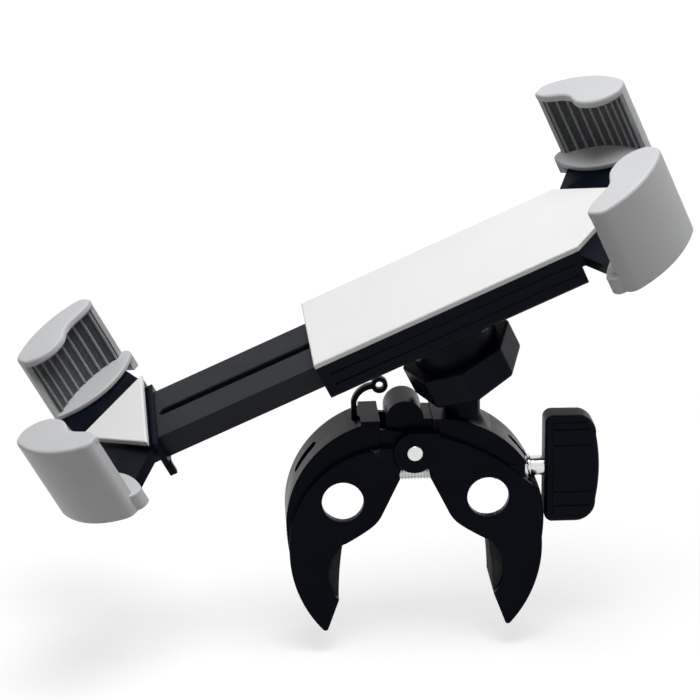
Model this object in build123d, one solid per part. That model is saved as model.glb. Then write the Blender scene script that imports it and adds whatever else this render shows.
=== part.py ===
from build123d import *
import math
import os

# Universal phone and tablet mount: a bar clamp with two hinged jaws, a ball joint with a
# big lock nut, and a telescopic cradle with two gripping claws at each end.
# Millimetres, +Z up. The origin is the axis of the clamped bar, midway between the jaw pads.
# The bar and the hinge pin run along Y, and the clamp's knob is at +X.

# Clamp: places measured from the hinge pin's centre
PIVOT_HEIGHT = 52.0
CLAMP_WIDTH = 30.0
CHEEK = 3.0
RUN_GAP = 0.3
LOBE_R = 8.3
PIN_R = 3.1
PIN_GAP = 0.05
PIN_HEAD = 0.5
JAW_HALF_WIDTH = 50.5
JAW_BULGE_DROP = 38.0
TIP_OUT = 36.5
TIP_DROP = 76.0
SHOULDER_OUT = 11.5
SHOULDER_RISE = 2.4
WINDOW_OUT = 28.9
WINDOW_DROP = 19.5
WINDOW_R = 8.3
RIM_WALL = 3.4
RIM_RISE = 13.0
RIM_SLOT_LENGTH = 15.0
RIM_SLOT_WIDTH = 6.0
TETHER_OUT = 24.2
TETHER_R = 1.1
FIT_GAP = 0.02
WEB = 2.4
CROTCH_OUT = 6.0
CROTCH_DROP = 10.5
KNEE_OUT = 15.0
KNEE_DROP = 29.0
PAD_TOP_DROP = 38.5
PAD_BOTTOM_DROP = 61.5
PAD_THICK = 4.0
PAD_SEAT_OUT = 35.2
PAD_RIBS = 9
RIB_HEIGHT = 0.9

# Clamp screw, its two swivels and the knob
SCREW_DROP = 12.6
SCREW_R = 4.0
NUT_OUT = 13.5
BUSH_OUT = 40.0
SWIVEL_R = 5.6
TRUNNION_R = 3.0
OPEN_PIVOT_GAP = 0.9
SCREW_END_PAST_NUT = 8.5
COLLAR_R = 5.0
COLLAR_LENGTH = 1.6
KNOB_START = 52.7
KNOB_WIDTH = 22.0
KNOB_HEIGHT = 49.0
KNOB_DEPTH = 13.0
HUB_R = 7.5
HUB_LENGTH = 4.0

# Neck and ball joint
NECK_OUT = 19.7
NECK_R = 7.6
NECK_TOP = 18.0
NECK_FOOT_R = 11.0
BALL_HEIGHT = 35.2
BALL_R = 11.0
STEM_R = 3.5
STUD_R = 2.9
STUD_THREAD = 8.0
SEAT_GAP = 0.3
SEAT_WALL = 1.0
SOCKET_WALL = 3.1
SOCKET_BELOW = 6.0
FINGER_SLOTS = 6
LOCK_NUT_SIDES = 8
LOCK_NUT_R = 23.0
LOCK_NUT_BELOW = 9.0
LOCK_NUT_HEIGHT = 15.0
LOCK_NUT_MOUTH_R = 14.2
FLANGE_R = 21.8
FLANGE_SCREW_R = 19.4
FLANGE_THICK = 3.0

# Cradle: its own frame has the ball's centre as origin, X along and Z normal to the face
CRADLE_TURN = -2.4
CRADLE_PITCH = -24.1
CRADLE_ROLL = 14.7
HOUSING_LEFT = -49.8
HOUSING_LENGTH = 109.5
HOUSING_WIDTH = 47.0
HOUSING_BOTTOM = 20.3
HOUSING_THICK = 18.0
COVER = 2.2
HOUSING_WALL = 2.4
POINT_LENGTH = 28.0
RAIL_WIDTH = 33.0
RAIL_THICK = 10.0
RAIL_GAP = 0.3
RAIL_OUT = 71.0
RAIL_INSIDE = 34.0
RAIL_SLOT = 3.8
SLOT_LEFT_MARGIN = 4.0
SLOT_RIGHT_MARGIN = 10.0
HEAD_COVER_WIDTH = 49.0
COLLAR_FLANGE = 4.0
GUIDE_PIN_INSET = 12.0

# Claws: chord ends measured from the point of the triangular cover
CLAW_OUT_X = 16.5
CLAW_OUT_Y = 29.2
CLAW_IN_X = -14.4
CLAW_IN_Y = 54.4
CLAW_HEIGHT = 44.0
CLAW_RISE = 27.6
CLAW_DEPTH = 15.0
CLAW_BULGE = 5.0
CLAW_WALL = 4.0
CLAW_CAP = 4.5
CLAW_SHELF = 5.5
CLAW_LIP = 9.0
SHELF_LOW = 12.0
GRIP_THICK = 2.4
GRIP_RIBS = 9
SCREW_HEAD_R = 2.6
SCREW_HEAD_H = 1.6
M3_R = 1.45

HALF = CLAMP_WIDTH / 2
FRONT = -HALF
CHEEK_BACK = FRONT + CHEEK
RIM_BACK = HALF - CHEEK + RUN_GAP
SWIVEL_HALF = -CHEEK_BACK - WEB - 0.5
BALL = Vector(NECK_OUT, 0, BALL_HEIGHT)
LINER_IN = BALL_R + SEAT_GAP
CUP_IN = LINER_IN + SEAT_WALL + SEAT_GAP
SOCKET_IN = CUP_IN + SEAT_WALL + SEAT_GAP
SOCKET_OUT = SOCKET_IN + SOCKET_WALL
HOUSING_TOP = HOUSING_BOTTOM + HOUSING_THICK
HOUSING_RIGHT = HOUSING_LEFT + HOUSING_LENGTH
RIGHT_POINT = HOUSING_RIGHT + POINT_LENGTH
RAIL_LOW = HOUSING_BOTTOM + HOUSING_WALL + RAIL_GAP
RAIL_TOP = RAIL_LOW + RAIL_THICK
HEAD_BASE = HOUSING_LEFT - RAIL_OUT
LEFT_POINT = HEAD_BASE - POINT_LENGTH


# Small helpers


def xz(x, z, y=0.0):
    return Vector(x, y, z)


def slab(edges, y0, y1):
    """Solid between y0 and y1 whose outline lies in the XZ plane."""
    face = make_face(Wire(edges).edges())
    return extrude(face, y1 - y0, dir=(0, 1, 0)).moved(Location((0, y0, 0)))


def rod_y(x, z, r, y0, y1):
    return Pos(x, (y0 + y1) / 2, z) * Rot(90, 0, 0) * Cylinder(r, y1 - y0)


def rod_x(r, x0, x1, z, y=0.0):
    return Pos((x0 + x1) / 2, y, z) * Rot(0, 90, 0) * Cylinder(r, x1 - x0)


def block(x0, x1, y0, y1, z0, z1):
    return Pos((x0 + x1) / 2, (y0 + y1) / 2, (z0 + z1) / 2) * Box(x1 - x0, y1 - y0, z1 - z0)


def soften(shape, edges, radius):
    """Round the edges, or a little less where the full radius has no room."""
    for r in (radius, radius * 0.6, radius * 0.3):
        try:
            return fillet(edges, r)
        except Exception:
            continue
    return shape


def flip(shape):
    return mirror(shape, Plane.YZ)


# Jaws: written for the left jaw, whose outline the right jaw mirrors


def outer_edge(rise, out, drop):
    """Two arcs from the shoulder over the bulge to the tip."""
    start = xz(-out, rise)
    bulge = xz(-JAW_HALF_WIDTH - (drop < JAW_BULGE_DROP), -drop)
    lift = (rise - SHOULDER_RISE) * 0.66
    knee = xz(-JAW_HALF_WIDTH * 0.735 - lift * 0.5, -8.4 + lift)
    low = xz(-JAW_HALF_WIDTH * 0.956, -drop - (TIP_DROP - drop) * 0.47)
    return [ThreePointArc(start, knee, bulge), ThreePointArc(bulge, low, xz(-TIP_OUT, -TIP_DROP))]


def inner_edge():
    """From the tip up past the pad's seat to the crotch below the hinge."""
    lip = xz(-PAD_SEAT_OUT + PAD_THICK, -PAD_BOTTOM_DROP)
    shelf = xz(-PAD_SEAT_OUT + PAD_THICK + 3, -PAD_TOP_DROP + 1)
    seat = xz(-PAD_SEAT_OUT, -(PAD_TOP_DROP + PAD_BOTTOM_DROP) / 2 - 2)
    knee = xz(-KNEE_OUT, -KNEE_DROP)
    return [
        Line(xz(-TIP_OUT, -TIP_DROP), lip),
        ThreePointArc(lip, seat, shelf),
        ThreePointArc(shelf, xz(-KNEE_OUT - 6.6, -KNEE_DROP - 4.6), knee),
        Line(knee, xz(-CROTCH_OUT, -CROTCH_DROP)),
    ]


def cheek(top_edges):
    plate = slab(outer_edge(SHOULDER_RISE, SHOULDER_OUT, JAW_BULGE_DROP) + inner_edge() + top_edges, FRONT, CHEEK_BACK)
    return plate - rod_y(-WINDOW_OUT, -WINDOW_DROP, WINDOW_R, FRONT - 1, CHEEK_BACK + 1)


def rim(start_out):
    """Raised outer wall behind the cheek, from the top block round to the tip."""
    outer = outer_edge(RIM_RISE, start_out, 30.0)
    band = Wire(outer)
    start, tip = xz(-start_out, RIM_RISE), xz(-TIP_OUT, -TIP_DROP)
    inset = [
        Line(tip, xz(-TIP_OUT + 1.2, -TIP_DROP + 4.5)),
        ThreePointArc(
            xz(-TIP_OUT + 1.2, -TIP_DROP + 4.5),
            xz(-JAW_HALF_WIDTH * 0.956 + RIM_WALL, -51.0),
            xz(-JAW_HALF_WIDTH - 1 + RIM_WALL, -30.0),
        ),
        ThreePointArc(
            xz(-JAW_HALF_WIDTH - 1 + RIM_WALL, -30.0),
            xz(-JAW_HALF_WIDTH * 0.735 - 1.2, -8.4 + 4.4),
            xz(-start_out, RIM_RISE - RIM_WALL),
        ),
        Line(xz(-start_out, RIM_RISE - RIM_WALL), start),
    ]
    wall = slab(band.edges() + inset, CHEEK_BACK - 0.01, RIM_BACK)
    slot_axis = Pos(-JAW_HALF_WIDTH * 0.87, 0.0, -4.5) * Rot(0, -52, 0)
    slot = slot_axis * extrude(SlotOverall(RIM_SLOT_LENGTH, RIM_SLOT_WIDTH), 20, both=True)
    return wall - slot


def pad_bed():
    """Inner wall that carries the rubber pad, joined to the rim at the tip."""
    low, high = PAD_BOTTOM_DROP, PAD_TOP_DROP
    mid = (low + high) / 2
    face = [
        ThreePointArc(xz(-PAD_SEAT_OUT + 2.2, -high), xz(-PAD_SEAT_OUT, -mid), xz(-PAD_SEAT_OUT + 1.6, -low)),
        Line(xz(-PAD_SEAT_OUT + 1.6, -low), xz(-PAD_SEAT_OUT + PAD_THICK, -low)),
        Line(xz(-PAD_SEAT_OUT + PAD_THICK, -low), xz(-TIP_OUT, -TIP_DROP)),
        Line(xz(-TIP_OUT, -TIP_DROP), xz(-TIP_OUT - 4.0, -TIP_DROP + 9.0)),
        ThreePointArc(
            xz(-TIP_OUT - 4.0, -TIP_DROP + 9.0), xz(-PAD_SEAT_OUT - 3.4, -mid), xz(-PAD_SEAT_OUT - 1.0, -high + 3.5)
        ),
        Line(xz(-PAD_SEAT_OUT - 1.0, -high + 3.5), xz(-PAD_SEAT_OUT + PAD_THICK + 2, -high + 3.5)),
        Line(xz(-PAD_SEAT_OUT + PAD_THICK + 2, -high + 3.5), xz(-PAD_SEAT_OUT + PAD_THICK + 2, -high)),
        Line(xz(-PAD_SEAT_OUT + PAD_THICK + 2, -high), xz(-PAD_SEAT_OUT + 2.2, -high)),
    ]
    return slab(face, CHEEK_BACK - 0.01, RIM_BACK)


def web(points, y0, y1):
    return slab(Polyline(*[xz(x, z) for x, z in points], close=True).edges(), y0, y1)


def left_jaw():
    clear = LOBE_R + 0.6
    top = [
        Line(xz(-CROTCH_OUT, -CROTCH_DROP), xz(-clear * 0.76, -clear * 0.66)),
        ThreePointArc(xz(-clear * 0.76, -clear * 0.66), xz(-clear, 0), xz(-clear * 0.97, clear * 0.24)),
        Line(xz(-clear * 0.97, clear * 0.24), xz(-SHOULDER_OUT, SHOULDER_RISE)),
    ]
    jaw = cheek(top) + rim(SHOULDER_OUT + 2.0) + pad_bed()
    ear = [(2.5, 7.0), (-SHOULDER_OUT, 9.0), (-SHOULDER_OUT - 7.0, 9.5), (-27.0, 5.0), (-30.0, -4.0)]
    ear += [(-27.0, -10.8), (-19.6, -17.5), (-9.5, -19.5), (-5.0, -7.0), (2.5, -7.0)]
    front_web = (CHEEK_BACK - 0.01, CHEEK_BACK + WEB)
    back_web = (RIM_BACK - WEB, RIM_BACK)
    for y0, y1 in (front_web, back_web):
        plate = web(ear, y0 + (RUN_GAP if y0 < 0 else 0), y1) - block(-4.0, 9, y0 - 1, y1 + 1, -20, 20)
        jaw += plate + rod_y(0, 0, LOBE_R - 0.5, y0 + (RUN_GAP if y0 < 0 else 0), y1)
    jaw += web(ear[2:8] + [(-14.0, -18.0), (-14.0, 9.0)], CHEEK_BACK - 0.01, CHEEK_BACK + WEB)
    jaw += block(-SHOULDER_OUT - 9.5, -SHOULDER_OUT - 2.0, CHEEK_BACK - 0.01, RIM_BACK, 4.5, RIM_RISE)
    jaw -= rod_y(0, 0, PIN_R + PIN_GAP, -HALF - 1, HALF + 1)
    jaw -= rod_y(-NUT_OUT, -SCREW_DROP, TRUNNION_R + OPEN_PIVOT_GAP, CHEEK_BACK + 0.01, HALF + 1)
    return jaw - block(-TETHER_OUT - FIT_GAP, -TETHER_OUT + 2 * TETHER_R + FIT_GAP, -1.32, 1.32, 7.5, 15.0)


def right_jaw():
    top = [
        Line(xz(-CROTCH_OUT, -CROTCH_DROP), xz(-LOBE_R * 0.62, -LOBE_R * 0.78)),
        ThreePointArc(xz(-LOBE_R * 0.62, -LOBE_R * 0.78), xz(LOBE_R, 0), xz(0, LOBE_R)),
        Line(xz(0, LOBE_R), xz(-SHOULDER_OUT + 2, LOBE_R - 0.6)),
        Line(xz(-SHOULDER_OUT + 2, LOBE_R - 0.6), xz(-SHOULDER_OUT, SHOULDER_RISE)),
    ]
    jaw = cheek(top) + rim(SHOULDER_OUT - 4.0) + pad_bed()
    arm = [(-3.0, 7.0), (-10.0, 9.6), (-24.0, 9.0), (-36.0, 2.0), (-46.0, -9.0), (-47.5, -18.0)]
    arm += [(-36.0, -19.0), (-22.0, -17.5), (-12.0, -18.5), (-6.0, -6.0)]
    jaw += web(arm, RIM_BACK - WEB, RIM_BACK)
    jaw += web(arm[3:8], CHEEK_BACK - 0.01, CHEEK_BACK + WEB)
    jaw = flip(jaw)
    rear = rod_y(0, 0, LOBE_R, RIM_BACK + RUN_GAP, HALF) + web(
        [(0, 7.5), (24.0, 9.0), (40.0, -3.0), (38.0, -16.0), (12.0, -17.0), (5.0, -6.0)], RIM_BACK - 0.01, HALF
    )
    rear -= rod_y(0, 0, LOBE_R + RUN_GAP, RIM_BACK - WEB - 1, RIM_BACK + RUN_GAP)
    jaw -= rod_y(0, 0, LOBE_R + RUN_GAP, CHEEK_BACK, RIM_BACK + RUN_GAP)
    jaw = jaw + rear + open_stop() + neck()
    jaw -= rod_y(0, 0, PIN_R + PIN_GAP, -HALF - 1, HALF + 1)
    jaw -= rod_y(BUSH_OUT, -SCREW_DROP, TRUNNION_R + 0.1, CHEEK_BACK + 0.01, HALF + 1)
    jaw -= rod_y(BUSH_OUT, -SCREW_DROP, SWIVEL_R + RUN_GAP, -SWIVEL_HALF - RUN_GAP, SWIVEL_HALF + RUN_GAP)
    jaw -= rod_x(COLLAR_R + 1.3, BUSH_OUT, JAW_HALF_WIDTH + 3, -SCREW_DROP)
    sweep_depth = SCREW_R + 4.5
    jaw -= block(2, BUSH_OUT, -SCREW_R - 1, SCREW_R + 1, -SCREW_DROP - sweep_depth, -SCREW_DROP + SCREW_R + 0.8)
    jaw -= block(12, BUSH_OUT, -COLLAR_R - 0.5, COLLAR_R + 0.5, -SCREW_DROP - sweep_depth, -SCREW_DROP + COLLAR_R + 0.8)
    return jaw - Pos(NECK_OUT, 0, NECK_TOP - STUD_THREAD / 2) * Cylinder(STUD_R, STUD_THREAD + FIT_GAP)


def open_stop():
    """Middle knuckle and the round lug above it that stops the jaws when open."""
    reach = CHEEK_BACK + WEB + RUN_GAP, RIM_BACK - WEB - RUN_GAP
    lug_r, lug_x, lug_z = 7.5, -3.5, 12.5
    lug = slab(
        [
            Line(xz(lug_x - lug_r, 3.0), xz(lug_x - lug_r, lug_z)),
            ThreePointArc(xz(lug_x - lug_r, lug_z), xz(lug_x, lug_z + lug_r), xz(lug_x + lug_r, lug_z)),
            Line(xz(lug_x + lug_r, lug_z), xz(NECK_OUT - 6, 12.0)),
            Line(xz(NECK_OUT - 6, 12.0), xz(NECK_OUT - 6, 7.0)),
            Line(xz(NECK_OUT - 6, 7.0), xz(LOBE_R - 0.8, 1.0)),
            Line(xz(LOBE_R - 0.8, 1.0), xz(lug_x - lug_r, 3.0)),
        ],
        *reach,
    )
    return lug + rod_y(0, 0, LOBE_R - 0.8, *reach)


def neck():
    foot = Pos(NECK_OUT, 0, 8.5) * Cone(NECK_FOOT_R, NECK_R, 7)
    post = Pos(NECK_OUT, 0, (5 + NECK_TOP) / 2) * Cylinder(NECK_R, NECK_TOP - 5)
    return foot + post


def jaw_pad():
    low, high = PAD_BOTTOM_DROP - 0.2, PAD_TOP_DROP + 0.2
    mid = (low + high) / 2
    face_out = -PAD_SEAT_OUT + PAD_THICK
    back = -PAD_SEAT_OUT + 0.02
    body = slab(
        [
            ThreePointArc(xz(back + 2.2, -high), xz(back, -mid), xz(back + 1.6, -low)),
            Line(xz(back + 1.6, -low), xz(face_out, -low)),
            ThreePointArc(xz(face_out, -low), xz(face_out - 0.3, -mid), xz(face_out + 2.0, -high)),
            Line(xz(face_out + 2.0, -high), xz(back + 2.2, -high)),
        ],
        CHEEK_BACK + 0.2,
        RIM_BACK,
    )
    width = RIM_BACK - CHEEK_BACK - 0.2
    step = width / PAD_RIBS
    for i in range(PAD_RIBS):
        y = CHEEK_BACK + 0.2 + step * (i + 0.5)
        body += slab(
            [
                ThreePointArc(xz(face_out, -low), xz(face_out - 0.3 + RIB_HEIGHT, -mid), xz(face_out + 2.0, -high)),
                ThreePointArc(xz(face_out + 2.0, -high), xz(face_out - 0.6, -mid), xz(face_out, -low)),
            ],
            y - step * 0.28,
            y + step * 0.28,
        )
    return body


def hinge_pin():
    pin = rod_y(0, 0, PIN_R, -HALF - PIN_HEAD, HALF + 1.6)
    groove = rod_y(0, 0, PIN_R + 1, HALF + 0.5, HALF + 1.1) - rod_y(0, 0, PIN_R - 0.5, HALF, HALF + 2)
    ends = pin.edges().filter_by(GeomType.CIRCLE).sort_by(Axis.Y)
    return soften(pin, [ends[0]], 0.45) - groove


def pin_clip():
    ring = rod_y(0, 0, PIN_R + 1.5, HALF + 0.52, HALF + 1.08) - rod_y(0, 0, PIN_R - 0.45, HALF, HALF + 2)
    return ring - block(-1.2, 1.2, HALF, HALF + 2, -9, 0)


def tether_loop():
    """Moulded hook on the left jaw's top, ending in a small flat eye."""
    thick, wide = 2 * TETHER_R, 2.6
    x, top = -TETHER_OUT, 17.6
    eye = xz(-12.8, 24.2)
    outer = [
        Line(xz(x + thick, 7.6), xz(x, 7.6)),
        Line(xz(x, 7.6), xz(x, top)),
        ThreePointArc(xz(x, top), xz(x + 3.0, top + 5.0), xz(x + 9.0, top + 7.4)),
        Line(xz(x + 9.0, top + 7.4), xz(x + 9.4, top + 7.4 - thick)),
        ThreePointArc(xz(x + 9.4, top + 7.4 - thick), xz(x + 4.6, top + 3.6), xz(x + thick, top)),
        Line(xz(x + thick, top), xz(x + thick, 7.6)),
    ]
    band = slab(outer, -wide / 2, wide / 2)
    ring = rod_y(eye.X, eye.Z, 3.3, -wide / 2, wide / 2)
    return band + ring - rod_y(eye.X, eye.Z, 1.5, -wide, wide)


# Clamp screw


def clamp_screw():
    x0 = -NUT_OUT - SCREW_END_PAST_NUT
    core = rod_x(SCREW_R, x0 + 1, BUSH_OUT, -SCREW_DROP)
    shank = rod_x(SCREW_R, BUSH_OUT, KNOB_START + 9, -SCREW_DROP)
    tip = Pos(x0 + 0.5, 0, -SCREW_DROP) * Rot(0, -90, 0) * Cone(SCREW_R, SCREW_R - 1, 1)
    for side in (-1, 1):
        edge = BUSH_OUT + side * (SWIVEL_R + RUN_GAP)
        core += rod_x(COLLAR_R, min(edge, edge + side * COLLAR_LENGTH), max(edge, edge + side * COLLAR_LENGTH), -SCREW_DROP)
    return core + shank + tip


def swivel(x, bore_r):
    """Cross-drilled barrel with a trunnion at each end."""
    body = rod_y(x, -SCREW_DROP, SWIVEL_R, -SWIVEL_HALF, SWIVEL_HALF)
    body += rod_y(x, -SCREW_DROP, TRUNNION_R, CHEEK_BACK + 0.4, RIM_BACK - 0.3)
    return body - rod_x(bore_r, x - SWIVEL_R - 1, x + SWIVEL_R + 1, -SCREW_DROP)


def knob():
    x0, x1 = KNOB_START + HUB_LENGTH, KNOB_START + KNOB_WIDTH
    low, high = -SCREW_DROP - KNOB_HEIGHT / 2, -SCREW_DROP + KNOB_HEIGHT / 2
    bow = 3.0
    wing = slab(
        [
            Line(xz(x0 - bow, low + 2), xz(x0 - bow, high - 2)),
            ThreePointArc(xz(x0 - bow, high - 2), xz(x0 - bow + 0.6, high - 0.6), xz(x0 - bow + 2, high)),
            Line(xz(x0 - bow + 2, high), xz(x1 - 6, high)),
            ThreePointArc(xz(x1 - 6, high), xz(x1 - 1.5, high - 2), xz(x1, high - 7)),
            ThreePointArc(xz(x1, high - 7), xz(x1 - 1.8, -SCREW_DROP), xz(x1, low + 7)),
            ThreePointArc(xz(x1, low + 7), xz(x1 - 1.5, low + 2), xz(x1 - 6, low)),
            Line(xz(x1 - 6, low), xz(x0 - bow + 2, low)),
            ThreePointArc(xz(x0 - bow + 2, low), xz(x0 - bow + 0.6, low + 0.6), xz(x0 - bow, low + 2)),
        ],
        -KNOB_DEPTH / 2,
        KNOB_DEPTH / 2,
    )
    wing = soften(wing, wing.edges().filter_by_position(Axis.Y, -KNOB_DEPTH / 2 - 0.1, -KNOB_DEPTH / 2 + 0.1), 1.8)
    wing = soften(wing, wing.edges().filter_by_position(Axis.Y, KNOB_DEPTH / 2 - 0.1, KNOB_DEPTH / 2 + 0.1), 1.8)
    for z in (high - 6.5, high - 13.5, low + 13.5, low + 6.5):
        for y in (-KNOB_DEPTH / 2, KNOB_DEPTH / 2):
            wing -= block(x0 + 1, x1 + 1, y - 0.5, y + 0.5, z - 0.45, z + 0.45)
    hub = rod_x(HUB_R, KNOB_START, x0, -SCREW_DROP)
    return wing + hub - rod_x(SCREW_R + 0.02, KNOB_START - 1, KNOB_START + 9.05, -SCREW_DROP)


# Ball joint, in the world frame


def ball_stud():
    ball = Pos(BALL) * Sphere(BALL_R)
    stem = Pos(NECK_OUT, 0, (NECK_TOP + BALL_HEIGHT) / 2) * Cylinder(STEM_R, BALL_HEIGHT - NECK_TOP)
    washer = Pos(NECK_OUT, 0, NECK_TOP + 0.75) * Cylinder(STEM_R + 1.5, 1.5)
    thread = Pos(NECK_OUT, 0, NECK_TOP - STUD_THREAD / 2 + 0.2) * Cylinder(STUD_R - FIT_GAP, STUD_THREAD - 0.4)
    return ball + stem + washer + thread


def seat_shell(inner, opening_angle, top_angle=180.0):
    """Part of a hollow ball, open at the bottom for the stem."""
    a = math.radians(opening_angle)
    outer = inner + SEAT_WALL
    mid = (a + math.radians(top_angle)) / 2

    def at(r, t):
        return Vector(r * math.sin(t), 0, -r * math.cos(t))

    end = math.radians(top_angle)
    edges = [
        ThreePointArc(at(inner, a), at(inner, mid), at(inner, end)),
        Line(at(inner, end), at(outer, end)),
        ThreePointArc(at(outer, end), at(outer, mid), at(outer, a)),
        Line(at(outer, a), at(inner, a)),
    ]
    return revolve(make_face(edges), Axis.Z)


def socket():
    """Cup with fingers round the ball, a threaded waist and a flange under the housing."""
    top = HOUSING_BOTTOM
    body = Pos(0, 0, (top - SOCKET_BELOW) / 2) * Cylinder(SOCKET_OUT, top + SOCKET_BELOW)
    body += Pos(0, 0, top - FLANGE_THICK / 2) * Cylinder(FLANGE_R, FLANGE_THICK)
    body -= Sphere(SOCKET_IN)
    for x, y in flange_screw_places():
        body -= Pos(x, y, top - FLANGE_THICK / 2) * Cylinder(M3_R, FLANGE_THICK + 1)
    for i in range(FINGER_SLOTS):
        cut = block(SOCKET_IN - 4, SOCKET_OUT + 1, -0.8, 0.8, -SOCKET_BELOW - 1, 4)
        body -= Rot(0, 0, 360 * i / FINGER_SLOTS) * cut
    return body


def lock_nut():
    body = extrude(RegularPolygon(LOCK_NUT_R, LOCK_NUT_SIDES), LOCK_NUT_HEIGHT)
    body = soften(body, body.edges().filter_by(Axis.Z), 2.2)
    body = soften(body, body.faces().sort_by(Axis.Z)[0].edges(), 2.6)
    body = soften(body, body.faces().sort_by(Axis.Z)[-1].edges(), 1.0)
    bore = Pos(0, 0, LOCK_NUT_HEIGHT / 2 + 3) * Cylinder(SOCKET_OUT + RUN_GAP, LOCK_NUT_HEIGHT)
    mouth = Pos(0, 0, 1.5) * Cylinder(LOCK_NUT_MOUTH_R, 3.1)
    taper = Pos(0, 0, 3.1 - 1.6) * Cone(LOCK_NUT_MOUTH_R, SOCKET_OUT + RUN_GAP, 3.0)
    return (body - bore - mouth - taper).moved(Location((0, 0, -LOCK_NUT_BELOW)))


# Cradle, in its own frame


def point_plan(x_base, half, x_point, nose=1.5):
    """Outline of a triangular end, square at x_base and pointed at x_point."""
    side = 1 if x_point > x_base else -1
    return [(x_base, half), (x_point - side * nose, nose), (x_point - side * nose, -nose), (x_base, -half)]


def flat(points, z0, z1):
    face = make_face(Polyline(*[(x, y, 0) for x, y in points], close=True).edges())
    return extrude(face, z1 - z0, dir=(0, 0, 1)).moved(Location((0, 0, z0)))


def arm_plan(x_base, x_point):
    """Black arms under the triangular cover, out to the inside of both claws."""
    s = 1 if x_point > x_base else -1
    half = HOUSING_WIDTH / 2
    ux, uy = (CLAW_IN_X - CLAW_OUT_X) / CHORD, (CLAW_IN_Y - CLAW_OUT_Y) / CHORD
    depth, inset = CLAW_WALL + 1.0 + RUN_GAP, 3.0
    near = (x_point + s * (CLAW_OUT_X - uy * depth + ux * inset), CLAW_OUT_Y + ux * depth + uy * inset)
    far = (x_point + s * (CLAW_IN_X - uy * depth - ux * inset), CLAW_IN_Y + ux * depth - uy * inset)
    top = [(x_base, half), (x_base + s * 2.0, half + 4.0), far, near, (x_point + s * 1.5, 3.0)]
    return top + [(x, -y) for x, y in reversed(top)]


def arms(x_base, x_point):
    low = flat(arm_plan(x_base, x_point), HOUSING_BOTTOM + 1.6, SHELF_BOTTOM - 0.02)
    crown = flat(point_plan(x_base, HOUSING_WIDTH / 2, x_point), SHELF_BOTTOM - 0.03, HOUSING_TOP - COVER)
    return low + crown


CLAW_BASE = HOUSING_TOP + CLAW_RISE - CLAW_HEIGHT
SHELF_BOTTOM = CLAW_BASE + SHELF_LOW
SHELF_TOP = SHELF_BOTTOM + CLAW_SHELF
CHORD = math.hypot(CLAW_OUT_X - CLAW_IN_X, CLAW_IN_Y - CLAW_OUT_Y)


def claw_plan(inset, depth, sweep_lip=0.0):
    """Curved back of a claw, from its outer wall less inset to a front edge at depth."""
    h = CHORD / 2 - inset
    back = ThreePointArc((-h, inset, 0), (0, inset - CLAW_BULGE, 0), (h, inset, 0))
    sides = [Line((h, inset, 0), (h, depth - sweep_lip, 0)), Line((-h, depth, 0), (-h, inset, 0))]
    front = Spline((h, depth - sweep_lip, 0), (h * 0.35, depth - sweep_lip, 0), (-h * 0.4, depth, 0), (-h, depth, 0))
    if not sweep_lip:
        front = Line((h, depth, 0), (-h, depth, 0))
    return make_face([back, sides[0], front, sides[1]])


def layer(face, z0, z1):
    return extrude(face, z1 - z0, dir=(0, 0, 1)).moved(Location((0, 0, z0)))


def claw():
    """Claw in its own frame: X along the chord, Y inward, Z up from its lower edge."""
    shelf_top = SHELF_LOW + CLAW_SHELF
    body = layer(claw_plan(0, CLAW_WALL + 1.0), 0, CLAW_HEIGHT)
    body += layer(claw_plan(0, CLAW_DEPTH), SHELF_LOW, shelf_top)
    body += layer(claw_plan(0, CLAW_WALL + CLAW_LIP, 3.0), CLAW_HEIGHT - CLAW_CAP, CLAW_HEIGHT)
    body = soften(body, body.edges().filter_by(Axis.Z).sort_by(Axis.Y)[:2], 3.0)
    body = soften(body, body.faces().sort_by(Axis.Z)[-1].edges(), 1.6)
    body -= layer(grip_plan(CLAW_WALL), shelf_top, CLAW_HEIGHT - CLAW_CAP)
    body -= Pos(0, CLAW_WALL + 5.5, SHELF_LOW + 2) * Cylinder(M3_R, 5)
    return body


def grip_plan(inset):
    h = CHORD / 2 - 2.5
    return make_face(
        [
            ThreePointArc((-h, inset, 0), (0, inset - CLAW_BULGE + 1.2, 0), (h, inset, 0)),
            Line((h, inset, 0), (h, inset + 1.2, 0)),
            Line((h, inset + 1.2, 0), (-h, inset + 1.2, 0)),
            Line((-h, inset + 1.2, 0), (-h, inset, 0)),
        ]
    )


def grip():
    """Ribbed rubber lining of a claw."""
    low, high = SHELF_LOW + CLAW_SHELF + 0.02, CLAW_HEIGHT - CLAW_CAP - 0.02
    h = CHORD / 2 - 2.5
    body = layer(grip_plan(CLAW_WALL), low, high)
    pitch = 2 * h / GRIP_RIBS
    for i in range(GRIP_RIBS):
        x = -h + pitch * (i + 0.5)
        body += Pos(x, CLAW_WALL + 1.2, (low + high) / 2) * Cylinder(pitch * 0.3, high - low)
    return body - layer(claw_back(CLAW_WALL), low - 1, high + 1)


def claw_back(inset):
    """Everything behind the seat of the rubber lining."""
    h = CHORD / 2 - 2.5
    arc = ThreePointArc((-h, inset, 0), (0, inset - CLAW_BULGE + 1.2, 0), (h, inset, 0))
    return make_face([arc, Line((h, inset, 0), (h, -9, 0)), Line((h, -9, 0), (-h, -9, 0)), Line((-h, -9, 0), (-h, inset, 0))])


def claw_place(x_point, s, far):
    """Location of a claw on the head at x_point; s is the head's direction, far is 1 or -1."""
    x_out, y_out = x_point + s * CLAW_OUT_X, far * CLAW_OUT_Y
    x_in, y_in = x_point + s * CLAW_IN_X, far * CLAW_IN_Y
    mid = Vector((x_out + x_in) / 2, (y_out + y_in) / 2, CLAW_BASE)
    along = Vector(x_in - x_out, y_in - y_out, 0) * (1 if s * far > 0 else -1)
    return Plane(origin=mid, x_dir=along, z_dir=(0, 0, 1)).location


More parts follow.
